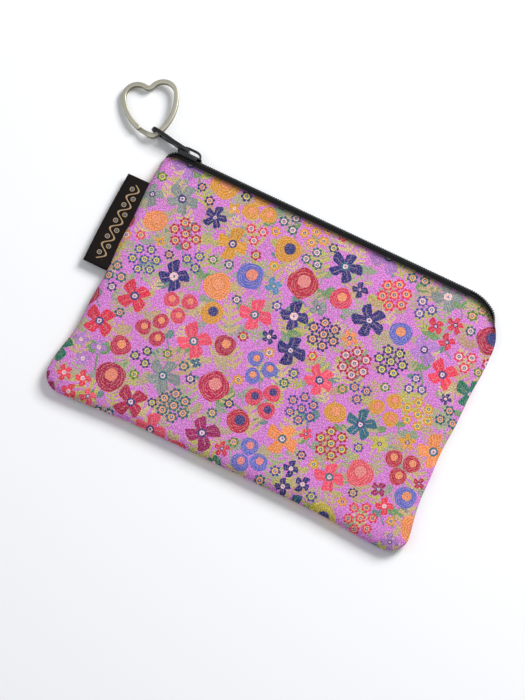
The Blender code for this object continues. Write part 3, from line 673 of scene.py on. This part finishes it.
def makePanel(name, front, node):
    # the panel's surface with its print, given the cloth's thickness inwards
    points, faces, place, paintedShade = panelSurface(front)
    piece = putMesh(name, points, faces, place, sharp=0)
    # the painted shade beside the zip fold, carried to the print's colour
    piece.data.attributes.new("paintedFoldShade", "FLOAT", "POINT").data.foreach_set("value", paintedShade)
    printOn(piece.data, place[:, 0], place[:, 1])
    thick = piece.modifiers.new("Thickness", "SOLIDIFY")
    thick.thickness = bag["clothThick"]
    thick.offset = -1
    finishPiece(piece, "pouch", "print_cotton", cotton, node)
    return piece


print("panels")
makePanel("printed_front", True, "front_panel")
makePanel("printed_back", False, "back_panel")
# the solids whose own shape is right keep it and get the real cloths and thread
for material, names in ((interliningCloth, ("front_interlining", "back_interlining")),
                        (liningCloth, ("front_lining", "back_lining")),
                        (threadCloth, ("front_coil_thread", "back_coil_thread", "bag_seam_thread"))):
    for name in names:
        frame["nodes"][name].data.materials.clear()
        frame["nodes"][name].data.materials.append(material)

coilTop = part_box("front_zip_coil")[1][1]
zipper = {
    "line": coilTop - 0.92 * mm, "left": -81.8 * mm, "right": 67.5 * mm,
    "leftBend": 5 * mm, "rightBend": 21 * mm, "leftRun": 14.2 * mm, "rightRun": 36.5 * mm,
    "pitch": 1.1 * mm, "wire": 0.36 * mm, "coilTall": 0.56 * mm, "coilWide": 0.88 * mm, "coilOff": 0.98 * mm,
    "pointsPerLoop": 12,
}


def zipSpace(along, out, z):
    # along the zip, out from its middle line, height: straight between the ends, then round an arc with
    # angle = overrun / bend radius, and past a quarter turn straight down inside the side seam
    over = np.maximum(along - zipper["right"], 0) / zipper["rightBend"]
    under = np.maximum(zipper["left"] - along, 0) / zipper["leftBend"]
    out = out - 2.0 * mm * smoothStep((over - 0.6) / 0.5) - 0.2 * mm * smoothStep((under - 0.9) / 0.7)
    onRight = over > 0
    bend = np.where(onRight, zipper["rightBend"], zipper["leftBend"])
    angle = np.minimum(over + under, math.pi / 2)
    drop = (over + under - angle) * bend
    radius = np.where(angle > 0, np.maximum(bend + out, 0.4 * mm), bend + out)
    x = np.clip(along, zipper["left"], zipper["right"]) + np.where(onRight, 1, -1) * radius * np.sin(angle)
    y = zipper["line"] - bend + radius * np.cos(angle) - drop
    # the panels close on each other down the corners and press the zip flat between them:
    # height share = sqrt(1 - (1 - s)^2), s = corner radius * (1 - sqrt(1 - c^2)) / the panels' edge rounding,
    # with c = the middle line's height above the corner's end / corner radius
    corner = np.where(onRight, bag["rightRadius"], bag["leftRadius"])
    middle = zipper["line"] - bend + bend * np.cos(angle) - drop
    high = np.clip((middle - bag["top"] + corner) / corner, 0, 1)
    closing = np.clip(corner * (1 - np.sqrt(1 - high**2)) / bag["edgeAtZip"], 0, 1)
    z = midHeight + (z - midHeight) * (0.06 + 0.94 * np.sqrt(1 - (1 - closing) ** 2))
    return np.stack(np.broadcast_arrays(x, y, z), -1)


def makeTape(name, way, node):
    # a closed cross section (out, z) carried along the zip: flat under the coil, then turned down beside it
    start, stop = zipper["left"] - zipper["leftRun"], zipper["right"] + zipper["rightRun"]
    along = np.arange(start, stop, 1.0 * mm)
    a = np.radians(np.linspace(90, 0, 6))
    outer = [(-1.1, 0.45), (-1.0, 1.4), (-1.0, 2.1)]
    outer += [(-2.1 + 1.1 * math.sin(t), 2.05 + 1.1 * math.cos(t)) for t in a]
    outer += [(-5.8, 3.15)]
    inner = [(o - 0.4 if z < 2.1 else o, z if z < 2.1 else z - 0.4) for o, z in outer][::-1]
    section = np.array(outer + inner) * mm
    points = zipSpace(along[:, None], section[:, 0], midHeight + way * section[:, 1])
    count = len(section)
    faces = gridFaces(len(along), count, aroundColumns=True).tolist()
    faces += [list(range(count))[::-1], list(range((len(along) - 1) * count, len(along) * count))]
    if way > 0:
        faces = [f[::-1] for f in faces]
    run = np.concatenate([[0], np.cumsum(np.linalg.norm(np.diff(section, axis=0), axis=1))])
    place = np.stack(np.broadcast_arrays(along[:, None] / mm, run / mm, 0.0), -1)
    piece = putMesh(name, points.reshape(-1, 3), faces, place.reshape(-1, 3))
    return finishPiece(piece, "pouch", "zip_tape", twill, node)


def makeCoil(name, way, node):
    # a flattened helix: out = coilTall cos a, z = coilWide sin a, one pitch along for each turn;
    # the two coils are half a pitch apart, so their loops interlock at the middle
    start, stop = zipper["left"] - zipper["leftRun"] * 0.9, zipper["right"] + zipper["rightRun"] * 0.96
    length = stop - start
    turns = length / zipper["pitch"]
    t = np.linspace(0, turns, int(turns * zipper["pointsPerLoop"]))
    a = 2 * math.pi * t
    along = start + zipper["pitch"] * (t + (0.5 if way > 0 else 0))
    out = zipper["coilTall"] * np.cos(a)
    z = midHeight + way * (zipper["coilOff"] + zipper["coilWide"] * np.sin(a))
    path = zipSpace(along, out, z)
    up = path - zipSpace(along, 0 * out, midHeight + way * zipper["coilOff"] + 0 * out)
    ring = np.linspace(0, 2 * math.pi, 6)[:-1]
    wire = np.stack([np.cos(ring), np.sin(ring)], 1) * zipper["wire"]
    # the filling cord inside the loops
    inside = np.arange(start, stop, 1.5 * mm)
    cordPath = zipSpace(inside, 0 * inside, midHeight + way * zipper["coilOff"] + 0 * inside)
    cord = np.stack([np.cos(ring) * 0.66 * mm, np.sin(ring) * 0.8 * mm], 1)
    points, faces = joined([sweep(path, wire, up), sweep(cordPath, cord, (0, 0, 1))])
    piece = putMesh(name, points, faces, sharp=0)
    return finishPiece(piece, "pouch", "zip_coil", nylon, node)


print("zip")
makeTape("zip_tape_front", 1, "front_zip_tape")
makeTape("zip_tape_back", -1, "back_zip_tape")
makeCoil("zip_coil_front", 1, "front_zip_coil")
makeCoil("zip_coil_back", -1, "back_zip_coil")

sliderLow, sliderHigh = [Vector(corner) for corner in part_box("slider_body")]
slider = {
    "plateThick": 0.8 * mm, "bridgeThick": 1.0 * mm, "bridgeWidth": 1.8 * mm,
    "plateY": 63.15 * mm, "innerY": sliderLow.y, "innerWidth": 4.7 * mm, "flangeDepth": 1.5 * mm,
}


def makeSlider():
    # rounded slabs for the two plates, side flanges and the post, and a strap carried over an arch,
    # arch = superellipse: x = half span * cos^0.55, y = rise * sin^0.6
    length, middle = sliderHigh.x - sliderLow.x, (sliderHigh.x + sliderLow.x) / 2
    width = sliderHigh.z - sliderLow.z

    def flatwise(low):  # outline (x, z), thickness along y
        return lambda p: np.stack([p[:, 0] + low[0], p[:, 2], -p[:, 1] + low[1]], 1)

    def plate(size, radius, low, high, nose):
        outline = roundedRect(size[0], size[1], radius)
        taper = 1 - nose * smoothStep((outline[:, 0] / size[0]) + 0.1)
        outline = np.stack([outline[:, 0], outline[:, 1] * taper], 1)
        return slab(outline, low, high, 0.22 * mm, flatwise((middle, midHeight)))

    y = slider["plateY"]
    parts = [
        plate((length, width), 1.6 * mm, y, y + slider["plateThick"], 0.12),
        plate((length - 0.4 * mm, slider["innerWidth"]), 1.2 * mm,
              slider["innerY"], slider["innerY"] + slider["plateThick"], 0.1),
    ]
    for way in (-1, 1):
        edge = roundedRect(length - 3.0 * mm, 0.5 * mm, 0.22 * mm)
        place = (middle - 0.4 * mm, midHeight + way * (width / 2 - 0.26 * mm))
        parts.append(slab(edge, y - slider["flangeDepth"], y + 0.3 * mm, 0.1 * mm, flatwise(place)))
    post = roundedRect(2 * mm, 0.6 * mm, 0.28 * mm)
    postPlace = (sliderLow.x + 1.6 * mm, midHeight)
    parts.append(slab(post, slider["innerY"] + 0.3 * mm, y + 0.3 * mm, 0.05 * mm, flatwise(postPlace)))
    # the arch: a superellipse from foot to foot, the right foot a little short of the plate
    left, right = sliderLow.x + 1.35 * mm, sliderHigh.x - 1.3 * mm
    crown = sliderHigh.y - slider["bridgeThick"] / 2
    base = y + slider["plateThick"] - 0.25 * mm
    a = np.radians(np.linspace(180, 0, 30))
    c, s = np.cos(a), np.sin(a)
    archX = (left + right) / 2 + (right - left) / 2 * np.sign(c) * np.abs(c) ** 0.55
    archY = base + (crown - base) * s ** 0.6
    archY = np.where(archX > right - 1.2 * mm, np.maximum(archY, y + slider["plateThick"] + 0.5 * mm), archY)
    path = np.stack([archX, archY, np.full(len(a), midHeight)], 1)
    strap = roundedRect(slider["bridgeThick"], slider["bridgeWidth"], 0.3 * mm, 3)
    parts.append(sweep(path, strap, (0, 0, 1)))
    points, faces = joined(parts)
    piece = putMesh("zip_slider", points, faces, sharp=50)
    return finishPiece(piece, "slider", "black_enamel", enamel, "slider_body")


print("slider")
makeSlider()

pull = {
    "hingeHalf": 2.6 * mm, "tipHalf": 3.2 * mm, "barHalf": 0.6 * mm, "slotHalf": 1.5 * mm,
    "slotFar": 4.9 * mm, "eyeRadius": 2.3 * mm, "thick": 1.7 * mm, "bevel": 0.28 * mm,
}


def flatPiece(name, loops, thick, bevel):
    # closed loops filled and thickened, with a rounded edge of the bevel's radius, made a mesh
    curve = bpy.data.curves.new(name, "CURVE")
    curve.dimensions, curve.fill_mode = "2D", "BOTH"
    curve.extrude, curve.bevel_depth, curve.bevel_resolution = thick / 2 - bevel, bevel, 3
    curve.offset = -bevel
    for loop in loops:
        spline = curve.splines.new("POLY")
        spline.points.add(len(loop) - 1)
        spline.points.foreach_set("co", np.array([(*p, 0, 1) for p in loop]).ravel())
        spline.use_cyclic_u = True
    guide = bpy.data.objects.new(name + "_curve", curve)
    bpy.context.scene.collection.objects.link(guide)
    bpy.context.view_layer.update()
    mesh = bpy.data.meshes.new_from_object(guide.evaluated_get(bpy.context.evaluated_depsgraph_get()))
    bpy.data.objects.remove(guide)
    merging = bmesh.new()
    merging.from_mesh(mesh)
    bmesh.ops.remove_doubles(merging, verts=merging.verts, dist=0.005 * mm)
    merging.to_mesh(mesh)
    merging.free()
    points = np.empty(len(mesh.vertices) * 3)
    mesh.vertices.foreach_get("co", points)
    return points.reshape(-1, 3), [list(p.vertices) for p in mesh.polygons]


def makePull():
    # a tab with a round tip: its outline, the bridge's slot, a pressed groove and the ring's eye as four
    # loops, filled, thickened, stood on edge and turned to point from the hinge to the eye
    reach = (eye - hinge).length
    a = np.radians(np.linspace(-90, 90, 25))
    tip = np.stack([reach + 0.6 * mm + pull["tipHalf"] * np.cos(a), pull["tipHalf"] * np.sin(a)], 1)
    lower = np.array([
        (-pull["barHalf"], -pull["hingeHalf"]), (pull["slotFar"] + 0.8 * mm, -pull["hingeHalf"]),
        (pull["slotFar"] + 3 * mm, -pull["hingeHalf"] * 0.86), (reach - 4.5 * mm, -pull["tipHalf"]),
    ])
    outline = np.concatenate([lower, tip, (lower * (1, -1))[::-1]])
    slot = roundedRect(pull["slotFar"] - pull["barHalf"], 2 * pull["slotHalf"], 0.5 * mm, 3)
    slot[:, 0] += (pull["slotFar"] + pull["barHalf"]) / 2
    b = np.linspace(0, 2 * math.pi, 37)[:-1]
    hole = np.stack([reach + pull["eyeRadius"] * np.cos(b), pull["eyeRadius"] * np.sin(b)], 1)
    groove = roundedRect(5.4 * mm, 1.3 * mm, 0.6 * mm, 4)
    groove[:, 0] += reach - 6.6 * mm
    points, faces = flatPiece("pull_blank", [outline, slot, groove, hole], pull["thick"], pull["bevel"])
    turn = Matrix.Rotation(math.atan2(eye.y - hinge.y, eye.x - hinge.x), 4, "Z")
    stand = Matrix.Rotation(math.radians(90), 4, "X")
    points = moved(points, Matrix.Translation(hinge) @ turn @ stand)
    piece = putMesh("zip_pull", points, faces, sharp=35)
    return finishPiece(piece, "pull", "black_enamel", enamel, "pull_tab")


print("pull")
makePull()

heart = {
    "tipAngle": math.radians(60), "tipRadius": 2.2 * mm, "lobeRadius": 6.35 * mm, "halfWidth": 12.4 * mm,
    "notchDepth": 2.5 * mm, "eyeAt": math.radians(55),
    "turn": math.radians(31), "tilt": math.radians(4.6),
    "band": 2.2 * mm, "turnThick": 1.12 * mm, "turnGap": 0.1 * mm, "seamAt": -5.0 * mm,
}


def arc(centre, radius, start, end, steps):  # centre + radius * (cos a, sin a)
    a = np.linspace(start, end, steps)
    return np.asarray(centre) + radius * np.stack([np.cos(a), np.sin(a)], 1)


def heartLine():
    # the middle line of the heart as four arcs a side, each tangent to the next: tip, flank, lobe and notch.
    # flank radius = (half width - tip radius cos tip angle) / (1 - cos tip angle);
    # notch radius = (lobe middle^2 + low^2 - lobe radius^2) / (2 notch depth),
    # low = lobe radius - notch depth
    tilt, r, lobe = heart["tipAngle"], heart["tipRadius"], heart["lobeRadius"]
    flank = (heart["halfWidth"] - r * math.cos(tilt)) / (1 - math.cos(tilt))
    level = r - r * math.sin(tilt) + flank * math.sin(tilt)
    lobeX, low = heart["halfWidth"] - lobe, lobe - heart["notchDepth"]
    notch = (lobeX**2 + low**2 - lobe**2) / (2 * heart["notchDepth"])
    meet = math.atan2(low + notch, lobeX)
    flankMiddle = (heart["halfWidth"] - flank, level)
    right = np.concatenate([
        arc((0, r), r, -math.pi / 2, -tilt, 8), arc(flankMiddle, flank, -tilt, 0, 40)[1:],
        arc((lobeX, level), lobe, 0, math.pi - meet, 40)[1:],
        arc((0, level + low + notch), notch, -meet, -math.pi / 2, 10)[1:],
    ])
    closed = np.concatenate([right, (right * (-1, 1))[::-1][1:]])
    length = np.concatenate([[0], np.cumsum(np.linalg.norm(np.diff(closed, axis=0), axis=1))])
    atEye = arc(flankMiddle, flank, -heart["eyeAt"], 0, 2)[0]
    return closed, length, atEye


def makeRing():
    # one wire that goes round twice: height steps from the lower turn to the upper over a short stretch,
    # and the wire's two ends lie either side of that step
    closed, length, atEye = heartLine()
    total = length[-1]
    step, gap = 3.4 * mm, 2.6 * mm
    run = np.linspace(gap, 2 * total - gap, 420)
    at = (run + heart["seamAt"]) % total
    x, y = np.interp(at, length, closed[:, 0]), np.interp(at, length, closed[:, 1])
    level = smoothStep((run - total + step) / (2 * step)) - 0.5
    z = level * (heart["turnThick"] + heart["turnGap"])
    path = np.stack([x, y, z], 1)
    band = roundedRect(heart["band"], heart["turnThick"], 0.34 * mm, 4)
    ends = np.minimum(run - run[0], run[-1] - run) / (0.5 * mm)
    thin = 0.75 + 0.25 * np.clip(ends, 0, 1)[:, None, None]
    points, faces = sweep(path, band * thin, (0, 0, 1))
    insideEye = Vector((*atEye, 0))
    tilt = Matrix.Rotation(-heart["tilt"], 4, "Y")
    turn = Matrix.Rotation(heart["turn"], 4, "Z")
    points = moved(points, Matrix.Translation(eye) @ tilt @ turn @ Matrix.Translation(-insideEye))
    piece = putMesh("heart_split_ring", points, faces, sharp=50)
    return finishPiece(piece, "ring", "nickel_wire", nickel, "heart_ring")


print("ring")
makeRing()

labelLow, labelHigh = [Vector(corner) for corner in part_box("side_label")]
labelLow.x -= 1.1 * mm  # the cloth stands a little proud of its solid
labelHigh.y += 2.0 * mm
label = {"ply": 0.32 * mm, "inSeam": 2.2 * mm, "foldRadius": 0.42 * mm, "curl": 0.7 * mm}


def makeLabel():
    # a strip that runs out of the seam, turns round the fold at the left and runs back:
    # height = middle height + half circle at the fold + curl * outward^1.5 * a slow sine along the label
    reach = labelHigh.x + label["inSeam"] - labelLow.x - label["foldRadius"]
    a = np.linspace(math.pi / 2, 3 * math.pi / 2, 9)
    straight = np.linspace(0, reach, 16)
    r = label["foldRadius"]
    topX, topZ = labelHigh.x + label["inSeam"] - straight, np.full(16, r)
    foldX, foldZ = labelLow.x + r + r * np.cos(a), r * np.sin(a)
    x = np.concatenate([topX, foldX[1:-1], topX[::-1]])
    z = np.concatenate([topZ, foldZ[1:-1], -topZ])
    run = np.concatenate([[0], np.cumsum(np.hypot(np.diff(x), np.diff(z)))])
    rows = np.linspace(0, 1, 60)
    y = labelLow.y + rows * (labelHigh.y - labelLow.y)
    out = np.clip((labelHigh.x - x) / (labelHigh.x - labelLow.x), 0, 1)
    lift = label["curl"] * out**1.5 * (0.4 * np.sin(rows * 5.1 + 0.6) - 0.5)[:, None]
    points = np.stack(np.broadcast_arrays(x[None], y[:, None], midHeight + z[None] + lift), -1)
    points[:, :, 0] -= (0.35 * mm * np.sin(rows * 3.3))[:, None] * out[None]
    across = np.minimum(run, run[-1] - run) / mm - 2.0
    along = rows * (labelHigh.y - labelLow.y) / mm
    place = np.stack(np.broadcast_arrays(across[None], along[:, None], 0.0), -1).reshape(-1, 3)
    piece = putMesh("woven_side_label", points.reshape(-1, 3), gridFaces(60, len(x)), place, sharp=0)
    thick = piece.modifiers.new("Thickness", "SOLIDIFY")
    thick.thickness, thick.offset = label["ply"], -1
    finishPiece(piece, "pouch", "woven_label", damask, "side_label")
    return piece


print("label")
makeLabel()

view = {
    "target": (-6.60 * mm, -4.48 * mm, 3 * mm), "up": (-0.4404, 0.8978), "elevation": 76.5,
    "distance": 1.3, "frameTall": 320.4 * mm,
}


studio = {
    "floorHalf": 3.0, "floor": (0.96, 0.965, 0.975, 1), "sky": (0.93, 0.96, 1.0, 1), "skyPower": 0.3,
    # name, place, size, power
    "lamps": [("key", (0.35, 0.8, 0.8), 0.55, 14.2), ("fill", (-0.7, -0.3, 1.1), 1.2, 3.6)],
}


def makeStage():
    # a plain paper floor, a pale sky all round, and two square soft lights turned to the middle
    floor = bpy.data.meshes.new("floor")
    half = studio["floorHalf"]
    corners = [(-half, -half, 0), (half, -half, 0), (half, half, 0), (-half, half, 0)]
    floor.from_pydata(corners, [], [(0, 1, 2, 3)])
    floorObject = bpy.data.objects.new("floor", floor)
    floorObject.location.z = -0.0001
    bpy.context.scene.collection.objects.link(floorObject)
    material, tree, shader = newMaterial("white_paper_sweep")
    shader.inputs["Base Color"].default_value = studio["floor"]
    shader.inputs["Roughness"].default_value = 0.9
    floor.materials.append(material)
    world = bpy.data.worlds.new("studio")
    world.use_nodes = True
    world.node_tree.nodes["Background"].inputs[0].default_value = studio["sky"]
    world.node_tree.nodes["Background"].inputs[1].default_value = studio["skyPower"]
    bpy.context.scene.world = world
    for name, place, size, power in studio["lamps"]:
        lamp = bpy.data.lights.new(name, "AREA")
        lamp.size, lamp.energy = size, power
        made = bpy.data.objects.new(name, lamp)
        made.location = place
        made.rotation_euler = (Vector((0, 0, 0)) - Vector(place)).to_track_quat("-Z", "Y").to_euler()
        bpy.context.scene.collection.objects.link(made)


def makeCamera():
    # back = -up * cos(elevation) + z * sin(elevation); lens = sensor height * distance / height in the frame
    lens = bpy.data.cameras.new("camera")
    lens.sensor_fit, lens.sensor_height = "VERTICAL", 24.0
    lens.lens = lens.sensor_height * view["distance"] / view["frameTall"]
    lens.clip_end = 20
    camera = bpy.data.objects.new("camera", lens)
    up = Vector((*view["up"], 0)).normalized()
    tall = math.radians(view["elevation"])
    back = -up * math.cos(tall) + Vector((0, 0, math.sin(tall)))
    camera.location = Vector(view["target"]) + back * view["distance"]
    right = up.cross(Vector((0, 0, 1))).normalized()
    top = back.cross(right)
    camera.rotation_euler = Matrix((right, top, back)).transposed().to_euler()
    bpy.context.scene.collection.objects.link(camera)
    bpy.context.scene.camera = camera
    bpy.context.scene.view_settings.view_transform = "Standard"


print("stage")
makeStage()
makeCamera()
